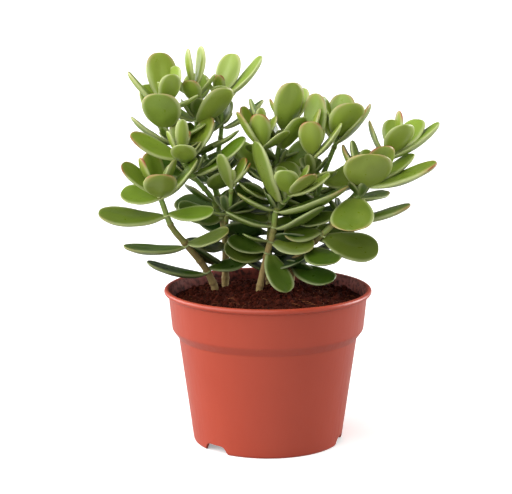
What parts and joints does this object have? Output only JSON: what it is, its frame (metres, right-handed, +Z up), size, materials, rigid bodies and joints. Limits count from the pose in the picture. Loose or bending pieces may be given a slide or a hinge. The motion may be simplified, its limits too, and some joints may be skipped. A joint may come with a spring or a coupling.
{
  "type": "potted jade plant",
  "caption": "Branched jade plant with thick paired leaves, rooted in soil in a round tapered nursery pot with a stepped collar and a notched foot.",
  "frame": {"origin": "on the pot's axis, at the plane that its foot stands on", "axes": "+Z up along the pot's axis; -Y towards the viewer that the fuller side of the plant faces; +X to that viewer's right"},
  "size_m": [0.194, 0.12, 0.2279],
  "materials": {
    "pot": "moulded terracotta-coloured polypropylene, satin",
    "soil": "moist dark peat with fibres",
    "stem": "succulent stem, tan and slightly barky at the foot, green above",
    "leaf": "waxy succulent leaf, yellow-green with a red-brown margin"
  },
  "bodies": {
    "root": {"pot": "pot", "soil": "soil", "stem_left_back": "stem", "stem_left_far": "stem", "stem_left_top": "stem", "stem_left_mid": "stem", "stem_left_front": "stem", "stem_centre_left": "stem", "stem_centre_back": "stem", "stem_centre_mid": "stem", "stem_centre_front": "stem", "stem_right_back": "stem", "stem_right_mid": "stem", "stem_right_front": "stem", "stem_right_far": "stem", "leaves_left_back_1": "leaf", "leaves_left_back_2": "leaf", "leaves_left_back_3": "leaf", "leaves_left_back_4": "leaf", "leaves_left_back_5": "leaf", "leaves_left_far_1": "leaf", "leaves_left_top_1": "leaf", "leaves_left_top_2": "leaf", "leaves_left_mid_1": "leaf", "leaves_left_front_1": "leaf", "leaves_left_front_2": "leaf", "leaves_left_front_3": "leaf", "leaves_centre_left_1": "leaf", "leaves_centre_back_1": "leaf", "leaves_centre_back_2": "leaf", "leaves_centre_back_3": "leaf", "leaves_centre_back_4": "leaf", "leaves_centre_back_5": "leaf", "leaves_centre_front_1": "leaf", "leaves_centre_front_2": "leaf", "leaves_centre_front_3": "leaf", "leaves_centre_front_4": "leaf", "leaves_centre_front_5": "leaf", "leaves_right_back_1": "leaf", "leaves_right_back_2": "leaf", "leaves_right_back_3": "leaf", "leaves_right_mid_1": "leaf", "leaves_right_front_1": "leaf", "leaves_right_front_2": "leaf", "leaves_right_front_3": "leaf", "leaves_right_front_4": "leaf", "leaves_right_front_5": "leaf", "crown_left_back": "leaf", "crown_left_far": "leaf", "crown_left_top": "leaf", "crown_left_mid": "leaf", "crown_left_front": "leaf", "crown_centre_left": "leaf", "crown_centre_back": "leaf", "crown_centre_mid": "leaf", "crown_centre_front": "leaf", "crown_right_back": "leaf", "crown_right_mid": "leaf", "crown_right_front": "leaf", "crown_right_far": "leaf"}
  },
  "joints": []
}
